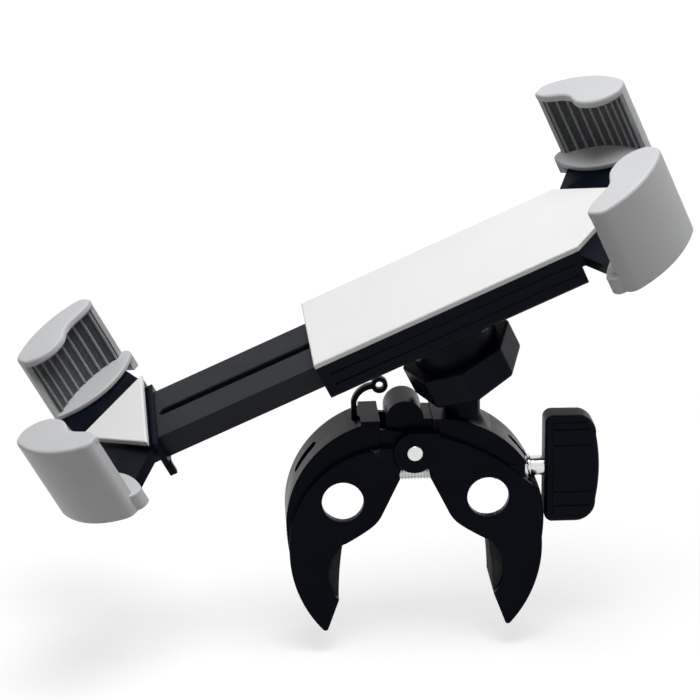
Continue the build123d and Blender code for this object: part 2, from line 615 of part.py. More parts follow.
def claw_screw():
    z = -CLAW_BASE + HOUSING_BOTTOM + 1.6
    head = Pos(0, CLAW_WALL + 5.5, z - SCREW_HEAD_H / 2) * Cylinder(SCREW_HEAD_R, SCREW_HEAD_H)
    return head + Pos(0, CLAW_WALL + 5.5, (z + SHELF_LOW + 4) / 2) * Cylinder(M3_R - FIT_GAP, SHELF_LOW + 4 - z)


def claw_hole(x_point, s, far):
    hole = Pos(0, CLAW_WALL + 5.5, 0) * Cylinder(M3_R, 60)
    return claw_place(x_point, s, far) * hole


def housing():
    half = HOUSING_WIDTH / 2
    body = block(HOUSING_LEFT, HOUSING_RIGHT + 0.01, -half, half, HOUSING_BOTTOM, HOUSING_TOP - COVER)
    body = soften(body, body.edges().filter_by(Axis.X).sort_by(Axis.Z)[:2], 2.5)
    body += arms(HOUSING_RIGHT, RIGHT_POINT)
    cavity_half = RAIL_WIDTH / 2 + RAIL_GAP
    body -= block(
        HOUSING_LEFT - 1, HOUSING_RIGHT - 2, -cavity_half, cavity_half, RAIL_LOW - RAIL_GAP, RAIL_TOP + RAIL_GAP
    )
    for y in (-half, half):
        for z in (HOUSING_BOTTOM + 6.0, HOUSING_BOTTOM + 11.0):
            body -= block(HOUSING_LEFT + 4, HOUSING_RIGHT - 4, y - 0.4, y + 0.4, z - 0.35, z + 0.35)
    for far in (-1, 1):
        body -= claw_hole(RIGHT_POINT, 1, far)
    for x, y in flange_screw_places():
        body -= Pos(x, y, HOUSING_BOTTOM + 1.2) * Cylinder(M3_R, 2.5)
    return body - Pos(HOUSING_LEFT + GUIDE_PIN_INSET, 0, HOUSING_BOTTOM + HOUSING_THICK / 2) * Cylinder(1.52, 40)


def housing_cover():
    half = HOUSING_WIDTH / 2
    plan = [(HOUSING_LEFT, -half), (HOUSING_LEFT, half)] + point_plan(HOUSING_RIGHT, half, RIGHT_POINT)
    plate = flat(plan, HOUSING_TOP - COVER, HOUSING_TOP)
    return soften(plate, plate.faces().sort_by(Axis.Z)[-1].edges(), 0.7)


def head_cover():
    plate = flat(point_plan(HEAD_BASE, HEAD_COVER_WIDTH / 2, LEFT_POINT, 2.0), HOUSING_TOP - COVER, HOUSING_TOP)
    return soften(plate, plate.faces().sort_by(Axis.Z)[-1].edges(), 0.7)


def guide_pin():
    x = HOUSING_LEFT + GUIDE_PIN_INSET
    top = HOUSING_TOP - COVER - 0.3
    return Pos(x, 0, (HOUSING_BOTTOM + 0.3 + top) / 2) * Cylinder(1.5, top - HOUSING_BOTTOM - 0.3)


def rail():
    half = RAIL_WIDTH / 2
    x0, x1 = HEAD_BASE - 12.0, HOUSING_LEFT + RAIL_INSIDE
    body = block(x0, x1, -half, half, RAIL_LOW, RAIL_TOP)
    slot_x0, slot_x1 = HEAD_BASE + SLOT_LEFT_MARGIN, x1 - SLOT_RIGHT_MARGIN
    slot = SlotOverall(slot_x1 - slot_x0, RAIL_SLOT)
    body -= Pos((slot_x0 + slot_x1) / 2, 0, RAIL_LOW - 1) * extrude(slot, RAIL_THICK + 2)
    return soften(body, body.edges().filter_by(Axis.X).sort_by(Axis.Z)[-2:], 0.6)


def left_head():
    body = arms(HEAD_BASE, LEFT_POINT)
    half, gap = RAIL_WIDTH / 2, 0.02
    body -= block(HEAD_BASE - 12.0 - gap, HEAD_BASE + 1, -half - gap, half + gap, RAIL_LOW - gap, RAIL_TOP + gap)
    for far in (-1, 1):
        body -= claw_hole(LEFT_POINT, -1, far)
    return body


def rail_collar():
    """Flange behind the left head that closes round the rail, with a foot below."""
    half = RAIL_WIDTH / 2
    x0, x1 = HEAD_BASE + 0.02, HEAD_BASE + COLLAR_FLANGE
    outer = block(x0, x1, -half - 5.0, half + 5.0, RAIL_LOW - 2.4, RAIL_TOP + 2.2)
    outer += block(x0, x1 + 5.0, -half - 5.0, -half - 2.4, RAIL_LOW - 6.0, RAIL_TOP - 2)
    return outer - block(x0 - 1, x1 + 9, -half - 0.02, half + 0.02, RAIL_LOW - 0.02, RAIL_TOP + 0.02)


def flange_screw_places():
    r = FLANGE_SCREW_R
    return [(r * math.cos(math.radians(a)), r * math.sin(math.radians(a))) for a in (45, 135, 225, 315)]


def socket_screws():
    under = HOUSING_BOTTOM - FLANGE_THICK
    shank = Pos(0, 0, under + FLANGE_THICK / 2 + 1.0) * Cylinder(M3_R - FIT_GAP, FLANGE_THICK + 2.0)
    head = Pos(0, 0, under - SCREW_HEAD_H / 2) * Cylinder(SCREW_HEAD_R - 0.4, SCREW_HEAD_H)
    return Compound(children=[Pos(x, y, 0) * (shank + head) for x, y in flange_screw_places()])


def heads():
    """Claws, their linings and their screws, for both ends."""
    made = {}
    shapes = {"claw": claw(), "claw_grip": grip()}
    mirrored = {name: mirror(shape, Plane.YZ) for name, shape in shapes.items()}
    for end, point, s in (("left", LEFT_POINT, -1), ("right", RIGHT_POINT, 1)):
        for side, far in (("far", 1), ("near", -1)):
            place = claw_place(point, s, far)
            for name, shape in shapes.items():
                use = mirrored[name] if s > 0 else shape
                made[f"{end}_{side}_{name}"] = place * use
        screws = [claw_place(point, s, far) * claw_screw() for far in (1, -1)]
        made[f"{end}_claw_screws"] = Compound(children=screws)
    return made


def build():
    tilt = Location(BALL, (0, 0, 0)) * Rot(0, 0, CRADLE_TURN) * Rot(0, CRADLE_PITCH, 0) * Rot(CRADLE_ROLL, 0, 0)
    swivelled = Location(BALL, (0, 0, 0))
    pitched = swivelled * Rot(0, 0, CRADLE_TURN) * Rot(0, CRADLE_PITCH, 0)
    cradle = {
        "socket": socket(),
        "lock_nut": lock_nut(),
        "housing": housing(),
        "housing_cover": housing_cover(),
        "guide_pin": guide_pin(),
        "socket_screws": socket_screws(),
        "rail": rail(),
        "left_head": left_head(),
        "head_cover": head_cover(),
        "rail_collar": rail_collar(),
        **heads(),
    }
    nodes = {name: tilt * shape for name, shape in cradle.items()}
    nodes.update(
        {
            "ball_liner": swivelled * seat_shell(LINER_IN, 50),
            "ball_cup": pitched * seat_shell(CUP_IN, 52),
            "ball_stud": ball_stud(),
            "right_jaw": right_jaw(),
            "left_jaw": left_jaw(),
            "left_jaw_pad": jaw_pad(),
            "right_jaw_pad": flip(jaw_pad()),
            "hinge_pin": hinge_pin(),
            "pin_clip": pin_clip(),
            "tether_loop": tether_loop(),
            "clamp_screw": clamp_screw(),
            "swivel_bush": swivel(BUSH_OUT, SCREW_R + 0.05),
            "swivel_nut": swivel(-NUT_OUT, SCREW_R + 0.05),
            "knob": knob(),
        }
    )
    lift = Location((0, 0, PIVOT_HEIGHT))
    return {name: lift * shape for name, shape in nodes.items()}


os.makedirs("parts", exist_ok=True)
for node, shape in build().items():
    export_step(shape, f"parts/{node}.step")
    print(node, round(shape.volume), len(shape.solids()), shape.is_valid)
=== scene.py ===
import math

import bmesh
import bpy
from mathutils import Matrix, Vector

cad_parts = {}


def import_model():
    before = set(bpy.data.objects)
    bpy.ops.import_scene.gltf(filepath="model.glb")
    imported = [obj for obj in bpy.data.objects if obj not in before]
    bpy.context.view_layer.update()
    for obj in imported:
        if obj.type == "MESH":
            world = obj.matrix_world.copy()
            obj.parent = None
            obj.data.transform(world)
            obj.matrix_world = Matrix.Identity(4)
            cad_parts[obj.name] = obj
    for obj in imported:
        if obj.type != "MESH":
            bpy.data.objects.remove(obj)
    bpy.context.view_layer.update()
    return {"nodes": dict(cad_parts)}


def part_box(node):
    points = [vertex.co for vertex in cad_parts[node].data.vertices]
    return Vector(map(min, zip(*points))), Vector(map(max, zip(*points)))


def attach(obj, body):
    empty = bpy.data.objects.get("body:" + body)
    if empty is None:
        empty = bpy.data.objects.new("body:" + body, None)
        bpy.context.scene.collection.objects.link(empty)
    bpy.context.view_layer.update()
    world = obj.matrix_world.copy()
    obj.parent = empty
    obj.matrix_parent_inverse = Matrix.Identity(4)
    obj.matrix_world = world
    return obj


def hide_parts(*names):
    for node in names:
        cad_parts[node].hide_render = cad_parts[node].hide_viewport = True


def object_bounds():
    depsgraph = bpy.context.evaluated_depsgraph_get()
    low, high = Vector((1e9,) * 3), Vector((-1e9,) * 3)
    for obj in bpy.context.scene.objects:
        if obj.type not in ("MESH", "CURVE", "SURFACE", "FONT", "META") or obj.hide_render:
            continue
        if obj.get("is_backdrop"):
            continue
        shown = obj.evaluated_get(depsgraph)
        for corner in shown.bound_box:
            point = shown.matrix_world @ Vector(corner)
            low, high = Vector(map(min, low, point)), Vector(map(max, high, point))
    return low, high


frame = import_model()
NODES = frame["nodes"]


# Materials: each function makes one procedural finish


class Finish:
    """A principled material with helpers for the nodes that its finish is made of."""

    def __init__(self, name):
        self.material = bpy.data.materials.new(name)
        self.material.use_nodes = True
        self.tree = self.material.node_tree
        self.shader = self.tree.nodes["Principled BSDF"]
        self.coords = self.add("ShaderNodeTexCoord").outputs["Object"]

    def add(self, kind, **values):
        node = self.tree.nodes.new(kind)
        for key, value in values.items():
            if key in node.inputs:
                node.inputs[key].default_value = value
            else:
                setattr(node, key, value)
        return node

    def link(self, source, target):
        self.tree.links.new(source, target)

    def noise(self, scale, detail=3.0, stretch=(1, 1, 1)):
        mapping = self.add("ShaderNodeMapping")
        mapping.inputs["Scale"].default_value = stretch
        self.link(self.coords, mapping.inputs["Vector"])
        node = self.add("ShaderNodeTexNoise", Scale=scale, Detail=detail)
        self.link(mapping.outputs[0], node.inputs["Vector"])
        return node.outputs["Fac"]

    def spread(self, source, low, high, start=0.3, end=0.7):
        node = self.add("ShaderNodeMapRange")
        for key, value in (("From Min", start), ("From Max", end), ("To Min", low), ("To Max", high)):
            node.inputs[key].default_value = value
        self.link(source, node.inputs["Value"])
        return node.outputs[0]

    def colour(self, source, dark, light):
        ramp = self.add("ShaderNodeValToRGB")
        ramp.color_ramp.elements[0].color = (*dark, 1)
        ramp.color_ramp.elements[1].color = (*light, 1)
        ramp.color_ramp.elements[0].position = 0.3
        ramp.color_ramp.elements[1].position = 0.7
        self.link(source, ramp.inputs["Fac"])
        self.link(ramp.outputs["Color"], self.shader.inputs["Base Color"])

    def bump(self, source, strength, distance):
        node = self.add("ShaderNodeBump", Strength=strength, Distance=distance)
        self.link(source, node.inputs["Height"])
        self.link(node.outputs[0], self.shader.inputs["Normal"])


def moulded(name, dark, light, rough, gloss, grain=2600.0, depth=0.00003, ior=1.45, uneven=0.05):
    """Moulded plastic: a fine spark-eroded grain, slightly uneven gloss and tone."""
    f = Finish(name)
    f.colour(f.noise(38.0, 4.0), dark, light)
    f.link(f.spread(f.noise(90.0, 5.0), rough - uneven, rough + uneven), f.shader.inputs["Roughness"])
    f.shader.inputs["IOR"].default_value = ior
    f.shader.inputs["Specular IOR Level"].default_value = gloss
    f.bump(f.noise(grain, 2.0), 0.35, depth)
    return f.material


def rubber(name, dark, light):
    """Soft moulded rubber: dull, with a coarser grain than the plastics."""
    f = Finish(name)
    f.colour(f.noise(900.0, 3.0), dark, light)
    f.link(f.spread(f.noise(150.0), 0.6, 0.8), f.shader.inputs["Roughness"])
    f.shader.inputs["Specular IOR Level"].default_value = 0.25
    f.bump(f.noise(1800.0, 2.0), 0.45, 0.00005)
    return f.material


def bright_steel():
    """Plated steel with faint turning marks round its length."""
    f = Finish("bright_steel")
    f.shader.inputs["Metallic"].default_value = 1.0
    f.colour(f.noise(45.0, 4.0), (0.62, 0.625, 0.63), (0.76, 0.765, 0.77))
    f.link(f.spread(f.noise(400.0, 3.0, (6, 1, 1)), 0.14, 0.26), f.shader.inputs["Roughness"])
    f.bump(f.noise(900.0, 2.0, (8, 1, 1)), 0.15, 0.00003)
    return f.material


def assign(material, *names):
    """Gives CAD nodes a material, also those that a finer piece replaces."""
    for name in names:
        mesh = NODES[name].data
        mesh.materials.clear()
        mesh.materials.append(material)


def ending(end):
    return [name for name in NODES if name.endswith(end)]


def dress():
    black = moulded("black_nylon", (0.0016, 0.0034, 0.0072), (0.0028, 0.0054, 0.0110), 0.36, 0.12, ior=1.3)
    clamp = moulded(
        "clamp_black", (0.0009, 0.0020, 0.0052), (0.0018, 0.0036, 0.0088), 0.28, 0.11, grain=1500.0, ior=1.28
    )
    rail = moulded("rail_black", (0.0085, 0.0105, 0.0150), (0.0120, 0.0145, 0.0200), 0.40, 0.26, ior=1.32)
    white = moulded(
        "white_cover", (0.76, 0.765, 0.76), (0.79, 0.795, 0.79), 0.42, 0.35, grain=2000.0, depth=0.00002
    )
    grey = moulded("claw_grey", (0.54, 0.545, 0.555), (0.58, 0.585, 0.595), 0.40, 0.30)
    nylon = moulded("seat_nylon", (0.10, 0.10, 0.11), (0.13, 0.13, 0.14), 0.4, 0.4)
    ball = moulded("ball_black", (0.006, 0.006, 0.008), (0.010, 0.010, 0.013), 0.2, 0.5)
    steel = bright_steel()
    assign(black, "housing", "left_head", "rail_collar", "socket", "lock_nut", "knob")
    assign(rail, "rail")
    assign(clamp, "right_jaw", "left_jaw", "tether_loop")
    assign(white, "housing_cover", "head_cover")
    assign(grey, *ending("_claw"))
    lining = rubber("lining_rubber", (0.045, 0.047, 0.052), (0.085, 0.088, 0.096))
    rib = rubber("rib_rubber", (0.26, 0.264, 0.27), (0.36, 0.364, 0.37))
    assign(lining, *ending("_grip"))
    pad = rubber("pad_rubber", (0.010, 0.011, 0.013), (0.022, 0.024, 0.028))
    assign(pad, "left_jaw_pad", "right_jaw_pad")
    assign(steel, "clamp_screw", "hinge_pin", "pin_clip", "swivel_bush", "swivel_nut")
    assign(steel, "guide_pin", "left_claw_screws", "right_claw_screws")
    assign(nylon, "ball_liner", "ball_cup")
    assign(ball, "ball_stud", "socket_screws")
    threaded_screw(steel)
    claws(grey, lining, rib)
    heads(black, steel)
    collar(black)
    knob(black)
    step_walls(clamp)
    jaws(clamp)


# The clamp screw, with its rolled thread


THREAD_PITCH = 0.00125
THREAD_DEPTH = 0.00062
CREST, FLANK = 0.12, 0.72
SHANK_R = 0.004
NOSE = 0.001
RUNOUT = 0.0012
COLLAR_LENGTH = 0.0014
COLLAR_BEVEL = 0.0002
RUN_GAP = 0.0003
SCREW_SIDES = 40
STEPS_PER_PITCH = 8


def flank(turn):
    """Depth of the groove, 0 at the crest and 1 at the root, at this share of a turn."""
    share = abs(turn % 1.0 - 0.5) * 2
    return 1.0 - min(1.0, max(0.0, (share - CREST) / FLANK))


def screw_stations(low, high, bush_low, bush_high):
    """(x, radius, how much of the thread's groove is cut) along the screw."""
    thread_end = bush_low - RUN_GAP - COLLAR_LENGTH - RUNOUT
    collar_r = (high[2] - low[2]) / 2
    stations = [(low[0], SHANK_R - NOSE, 0.0), (low[0] + NOSE, SHANK_R, 0.0)]
    count = int((thread_end - low[0] - NOSE) / THREAD_PITCH * STEPS_PER_PITCH)
    for i in range(1, count):
        x = low[0] + NOSE + i * THREAD_PITCH / STEPS_PER_PITCH
        fade = min(1.0, i / STEPS_PER_PITCH, (count - i) / (2 * STEPS_PER_PITCH))
        stations.append((x, SHANK_R, fade))
    for near, far in (
        (bush_low - RUN_GAP - COLLAR_LENGTH, bush_low - RUN_GAP),
        (bush_high + RUN_GAP, bush_high + RUN_GAP + COLLAR_LENGTH),
    ):
        edge_r = collar_r - COLLAR_BEVEL
        stations += [(near, SHANK_R, 0.0), (near, edge_r, 0.0), (near + COLLAR_BEVEL, collar_r, 0.0)]
        stations += [(far - COLLAR_BEVEL, collar_r, 0.0), (far, edge_r, 0.0), (far, SHANK_R, 0.0)]
    return stations + [(high[0], SHANK_R, 0.0)]


def threaded_screw(steel):
    """The CAD screw with a real thread, right-handed, between its end and its first collar."""
    low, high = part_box("clamp_screw")
    bush_low, bush_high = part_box("swivel_bush")[0][0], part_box("swivel_bush")[1][0]
    y, z = (low[1] + high[1]) / 2, (low[2] + high[2]) / 2
    stations = screw_stations(low, high, bush_low, bush_high)
    verts, faces = [], []
    for x, radius, cut in stations:
        for side in range(SCREW_SIDES):
            turn = side / SCREW_SIDES
            r = radius - cut * THREAD_DEPTH * flank(x / THREAD_PITCH - turn)
            angle = 2 * math.pi * turn
            verts.append((x, y + r * math.cos(angle), z + r * math.sin(angle)))
    for ring in range(len(stations) - 1):
        for side in range(SCREW_SIDES):
            a, b = ring * SCREW_SIDES + side, ring * SCREW_SIDES + (side + 1) % SCREW_SIDES
            faces.append((a, b, b + SCREW_SIDES, a + SCREW_SIDES))
    faces.append(tuple(reversed(range(SCREW_SIDES))))
    faces.append(tuple(range(len(verts) - SCREW_SIDES, len(verts))))
    mesh = bpy.data.meshes.new("threaded_screw")
    mesh.from_pydata(verts, [], faces)
    mesh.flip_normals()
    mesh.shade_smooth()
    mesh.set_sharp_from_angle(angle=math.radians(50))
    mesh.materials.append(steel)
    screw = bpy.data.objects.new("threaded_screw", mesh)
    bpy.context.collection.objects.link(screw)
    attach(screw, "screw")
    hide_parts("clamp_screw")


# Outlines and plates, in millimetres, that the detailed pieces are made of.
# PIVOT is at the clamp's hinge: X to the knob, Y up, Z to the front. CRADLE is at the ball: X along the rail
# to the right claws, Z up through the cover.

MM = Matrix.Scale(0.001, 4)
PIVOT = Matrix(((1, 0, 0, 0), (0, 0, -1, 0), (0, 1, 0, 0.052), (0, 0, 0, 1)))
CRADLE = Matrix(
    (
        (0.91203, -0.0631, -0.40525, 0.0197),
        (-0.03822, 0.9705, -0.23700, 0.0),
        (0.40833, 0.2315, 0.88295, 0.0872),
        (0, 0, 0, 1),
    )
)


def arc(a, via, b, steps=14):
    """Points from a round to b on the circle through via, without b itself."""
    (ax, ay), (bx, by), (cx, cy) = a, via, b
    d = 2 * (ax * (by - cy) + bx * (cy - ay) + cx * (ay - by))
    a2, b2, c2 = ax * ax + ay * ay, bx * bx + by * by, cx * cx + cy * cy
    ux = (a2 * (by - cy) + b2 * (cy - ay) + c2 * (ay - by)) / d
    uy = (a2 * (cx - bx) + b2 * (ax - cx) + c2 * (bx - ax)) / d
    r, start = math.hypot(ax - ux, ay - uy), math.atan2(ay - uy, ax - ux)
    sweep = (math.atan2(cy - uy, cx - ux) - start) % (2 * math.pi)
    if (math.atan2(by - uy, bx - ux) - start) % (2 * math.pi) > sweep:
        sweep -= 2 * math.pi
    return [
        (ux + r * math.cos(start + sweep * i / steps), uy + r * math.sin(start + sweep * i / steps))
        for i in range(steps)
    ]


def ring(x, y, r, sides=32):
    turns = [2 * math.pi * i / sides for i in range(sides)]
    return [(x + r * math.cos(turn), y + r * math.sin(turn)) for turn in turns]


def flowing(points, steps=7):
    """A smooth line through the points, without the last."""
    ends = [points[0]] + points + [points[-1]]
    line = []
    for p, a, b, q in zip(ends, ends[1:], ends[2:], ends[3:]):
        for i in range(steps):
            t = i / steps
            line.append(
                tuple(
                    0.5 * (2 * a[k] + (b[k] - p[k]) * t + (2 * p[k] - 5 * a[k] + 4 * b[k] - q[k]) * t * t
                    + (3 * a[k] - 3 * b[k] + q[k] - p[k]) * t ** 3)
                    for k in (0, 1)
                )
            )
    return line


def above(points, level):
    """The part of an outline that lies above the level."""
    kept = []
    for (ax, ay), (bx, by) in zip(points, points[1:] + points[:1]):
        if ay >= level:
            kept.append((ax, ay))
        if (ay - level) * (by - level) < 0:
            kept.append((ax + (bx - ax) * (level - ay) / (by - ay), level))
    return kept


def below(points, level):
    """The part of an outline that lies below the level."""
    return [(x, -y) for x, y in reversed(above([(x, -y) for x, y in reversed(points)], -level))]


def mirrored(points):
    """The outline's mirror image, left to right, drawn in the same sense."""
    return [(-x, y) for x, y in reversed(points)]


def plate(outlines, low, high, bevel=0.4, place=Matrix()):
    """An outline and its holes, drawn out from low to high with rounded edges."""
    curve = bpy.data.curves.new("outline", "CURVE")
    curve.dimensions, curve.fill_mode = "2D", "BOTH"
    curve.extrude, curve.bevel_depth, curve.bevel_resolution = (high - low) / 2 - bevel, bevel, 2
    curve.offset = -bevel
    for points in outlines:
        spline = curve.splines.new("POLY")
        spline.points.add(len(points) - 1)
        for point, (x, y) in zip(spline.points, points):
            point.co = (x, y, 0, 1)
        spline.use_cyclic_u = True
    holder = bpy.data.objects.new("outline", curve)
    mesh = bpy.data.meshes.new_from_object(holder)
    bpy.data.objects.remove(holder)
    bpy.data.curves.remove(curve)
    mesh.transform(place @ Matrix.Translation((0, 0, (low + high) / 2)))
    return mesh


SMOOTH_BELOW, SMOOTH_BELOW_CARVED = math.radians(40), math.radians(20)


def piece(name, meshes, material, place, body, slot, *nodes, even=True):
    """Joins the meshes, in millimetres at the place, into one piece that rides on the body."""
    form = bmesh.new()
    for mesh in meshes:
        form.from_mesh(mesh)
        bpy.data.meshes.remove(mesh)
    bmesh.ops.remove_doubles(form, verts=form.verts, dist=0.0001)
    form.transform(place @ MM)
    data = bpy.data.meshes.new(name)
    form.to_mesh(data)
    form.free()
    data.shade_smooth()
    data.set_sharp_from_angle(angle=SMOOTH_BELOW if even else SMOOTH_BELOW_CARVED)
    data.materials.clear()
    data.materials.append(material)
    made = bpy.data.objects.new(name, data)
    bpy.context.collection.objects.link(made)
    if even:
        made.modifiers.new("even_normals", "WEIGHTED_NORMAL").keep_sharp = True
    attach(made, body)
    if nodes:
        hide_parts(*nodes)
    return made


def scratch(mesh):
    """A passing object for the boolean modifiers."""
    made = bpy.data.objects.new("scratch", mesh)
    bpy.context.collection.objects.link(made)
    return made


def carved(name, body, slot, material, cutters, place):
    """A copy of a CAD solid with the cutters, in millimetres at the place, taken away."""
    form = bmesh.new()
    form.from_mesh(NODES[name].data)
    bmesh.ops.remove_doubles(form, verts=form.verts, dist=0.000001)
    back = (place @ MM).inverted()
    form.transform(back @ NODES[name].matrix_world)
    solid = bpy.data.meshes.new(name)
    form.to_mesh(solid)
    form.free()
    holder, tools = scratch(solid), [scratch(mesh) for mesh in cutters]
    for tool in tools:
        cut = holder.modifiers.new("cut", "BOOLEAN")
        cut.operation, cut.solver, cut.object = "DIFFERENCE", "EXACT", tool
    bpy.context.view_layer.update()
    result = bpy.data.meshes.new_from_object(holder.evaluated_get(bpy.context.evaluated_depsgraph_get()))
    for thing in [holder] + tools:
        bpy.data.objects.remove(thing)
    return piece(name + "_body", [result], material, place, body, slot, name, even=False)


# Claws: their outlines have X along the chord to the inner end, and Y from the back to the device

CLAW_OUT, CLAW_IN = (16.5, 29.2), (-14.4, 54.4)
CLAW_END_GAP = 0.1
CLAW_HALF = math.dist(CLAW_OUT, CLAW_IN) / 2 - CLAW_END_GAP
CLAW_BASE, CLAW_TOP = 28.9, 65.8
CLAW_FRONT, CLAW_BULGE = 5.0, 5.4
CLAW_WALL = 2.4
END_RUN = 2.6
SEAM = 0.05
FLOOR_LOW, FLOOR_TOP = 34.0, 36.4
FLOOR_LIP, FLOOR_BEND = (2.2, 5.4), (1.6, 9.0)
CAP_THICK, CAP_ROUND = 3.5, 1.1
LINING_BACK, LINING_FRONT, LINING_THICK = 0.9, 1.9, 0.7
RIBS, RIB_R = 9, 0.62
LAP = 0.1


def claw_back(inset=SEAM):
    """The curved back; the cap and floor lie a hair inside the wall."""
    h, bulge = CLAW_HALF - inset, CLAW_BULGE - inset
    side = -bulge * (1 - (1 - END_RUN / h) ** 2)
    line = arc((-h, 3.0), (-h + 0.7, 0.5), (-h + END_RUN, side), 6)
    line += arc((-h + END_RUN, side), (0, -bulge), (h - END_RUN, side), 28)
    return line + arc((h - END_RUN, side), (h - 0.7, 0.5), (h, 3.0), 6)


def claw_wall():
    h, seat = CLAW_HALF, CLAW_HALF - CLAW_WALL
    hollow = arc((seat, CLAW_FRONT), (0, LINING_BACK), (-seat, CLAW_FRONT), 24)
    return claw_back(0.0) + [(h, CLAW_FRONT)] + hollow + [(-seat, CLAW_FRONT), (-h, CLAW_FRONT)]


def claw_cap():
    """A full lobe at the outer end, a sharp step, and a slim inner half."""
    h = CLAW_HALF
    front = [(h - 0.05, 3.0), (h - 0.2, 5.6), (h * 0.74, 7.4), (h * 0.34, 7.3), (h * 0.12, 8.4)]
    front += [(-h * 0.04, 11.0), (-h * 0.22, 13.0), (-h * 0.52, 13.5), (-h * 0.8, 11.2)]
    return claw_back() + flowing(front + [(-h + 0.3, 6.8), (-h + 0.05, 3.0)])


def lip_end(h):
    """The floor's rounded inner end, from the back to the bend."""
    lip, bend = (h + FLOOR_LIP[0], FLOOR_LIP[1]), (h + FLOOR_BEND[0], FLOOR_BEND[1])
    return arc((h, 3.0), lip, bend, 6), bend


def claw_floor():
    h = CLAW_HALF
    lip, bend = lip_end(h)
    return claw_back() + lip + arc(bend, (h * 0.05, 15.5), (-h, 5.5), 20) + [(-h, 5.5)]


def claw_skirt():
    """Carries the inner end of the floor's lip down to the claw's lower edge."""
    h = CLAW_HALF - SEAM
    lip, bend = lip_end(h)
    line = arc((h - END_RUN, -1.2), (h - 0.7, 0.5), (h, 3.0), 6) + lip
    return line + [bend, (h - 1.4, 9.4), (h - END_RUN, 5.0)]


def grip_lining():
    h, front = CLAW_HALF - CLAW_WALL, CLAW_FRONT + LINING_THICK
    outer = arc((-h, CLAW_FRONT), (0, LINING_BACK), (h, CLAW_FRONT), 24) + [(h, CLAW_FRONT)]
    return outer + arc((h, front), (0, LINING_FRONT), (-h, front), 24) + [(-h, front)]


def rib_places():
    x, y = CLAW_HALF - CLAW_WALL - 1.2, CLAW_FRONT + 0.3
    return arc((x, y), (0, LINING_FRONT), (-x, y), RIBS - 1) + [(-x, y)]


def claw_place(x_point, side, far):
    """Where a claw sits on the cradle, and whether its outlines are mirrored there."""
    out = Vector((x_point + side * CLAW_OUT[0], far * CLAW_OUT[1], 0))
    inner = Vector((x_point + side * CLAW_IN[0], far * CLAW_IN[1], 0))
    flipped = side * far < 0
    along = (out - inner if flipped else inner - out).normalized()
    across = Vector((-along.y, along.x, 0))
    mid = (out + inner) / 2
    turn = Matrix((along, across, Vector((0, 0, 1)))).transposed().to_4x4()
    return CRADLE @ Matrix.Translation(mid * 0.001) @ turn, flipped


def claw(name, x_point, side, far, body, grey, lining, rib):
    """One claw: its grey shell, its dark lining and the ribs on it."""
    place, flipped = claw_place(x_point, side, far)
    turned = mirrored if flipped else list
    under = CLAW_TOP - CAP_THICK
    shell = [
        plate([turned(claw_wall())], CLAW_BASE, CLAW_TOP - CAP_ROUND + SEAM, SEAM),
        plate([turned(claw_floor())], FLOOR_LOW, FLOOR_TOP, 0.7),
        plate([turned(claw_skirt())], CLAW_BASE + SEAM, FLOOR_LOW + 1.2, 0.3),
        plate([turned(claw_cap())], under, CLAW_TOP, CAP_ROUND),
    ]
    piece(name + "_shell", shell, grey, place, body, "grey_plastic", name)
    low, high = FLOOR_TOP - LAP, under + LAP
    sheet = [plate([turned(grip_lining())], low, high, 0.1)]
    piece(name + "_lining", sheet, lining, place, body, "dark_rubber", name + "_grip")
    ribs = [plate([turned(ring(x, y, RIB_R, 12))], low, high - 2 * LAP, 0.15) for x, y in rib_places()]
    piece(name + "_ribs", ribs, rib, place, body, "dark_rubber")


LEFT_POINT, RIGHT_POINT = -146.8, 86.2


def claws(grey, lining, rib):
    for end, x_point, side, body in (("left", LEFT_POINT, -1, "slider"), ("right", RIGHT_POINT, 1, "cradle")):
        for reach, far in (("far", 1), ("near", -1)):
            claw(f"{end}_{reach}_claw", x_point, side, far, body, grey, lining, rib)


# Heads, collar and the heads of the claw screws

HOUSING_END = 58.3
HEAD_BACK = -120.75
BOLT_PLACES = (("left", -143.85, "slider"), ("right", 82.75, "cradle"))
BOLT_OUT = 37.0 - 2.6
BOLT_HEAD_R, BOLT_KEY_R, BOLT_R = 2.6, 1.3, 1.5
COLLAR_HALF, COLLAR_LOW, COLLAR_HIGH = 21.3, 20.8, 34.0
HOLE_HALF, HOLE_LOW, HOLE_HIGH = 16.5, 23.0, 33.0
FOOT_LOW, FOOT_WIDTH = 17.5, 2.4


def box_outline(x0, x1, y0, y1):
    return [(x0, y0), (x1, y0), (x1, y1), (x0, y1)]


def box_plate(x0, x1, y0, y1, z0, z1):
    return plate([box_outline(x0, x1, y0, y1)], z0, z1, 0.0)


def heads(black, steel):
    """The CAD housing and head, with arms only as deep as the claws that they carry."""
    under_right = box_plate(HOUSING_END, 120, -60, 60, 5, CLAW_BASE)
    under_left = box_plate(-180, HEAD_BACK, -60, 60, 5, CLAW_BASE)
    carved("housing", "cradle", "black_nylon", black, [under_right], CRADLE)
    carved("left_head", "slider", "black_nylon", black, [under_left], CRADLE)
    for end, x, body in BOLT_PLACES:
        bolts = []
        for y in (-BOLT_OUT, BOLT_OUT):
            key = list(reversed(ring(x, y, BOLT_KEY_R, 6)))
            bolts.append(plate([ring(x, y, BOLT_HEAD_R), key], CLAW_BASE - 1.5, CLAW_BASE, 0.2))
            bolts.append(plate([ring(x, y, BOLT_R)], CLAW_BASE - 0.5, FLOOR_LOW, 0.1))
        piece(end + "_claw_bolts", bolts, steel, CRADLE, body, "steel", end + "_claw_screws")


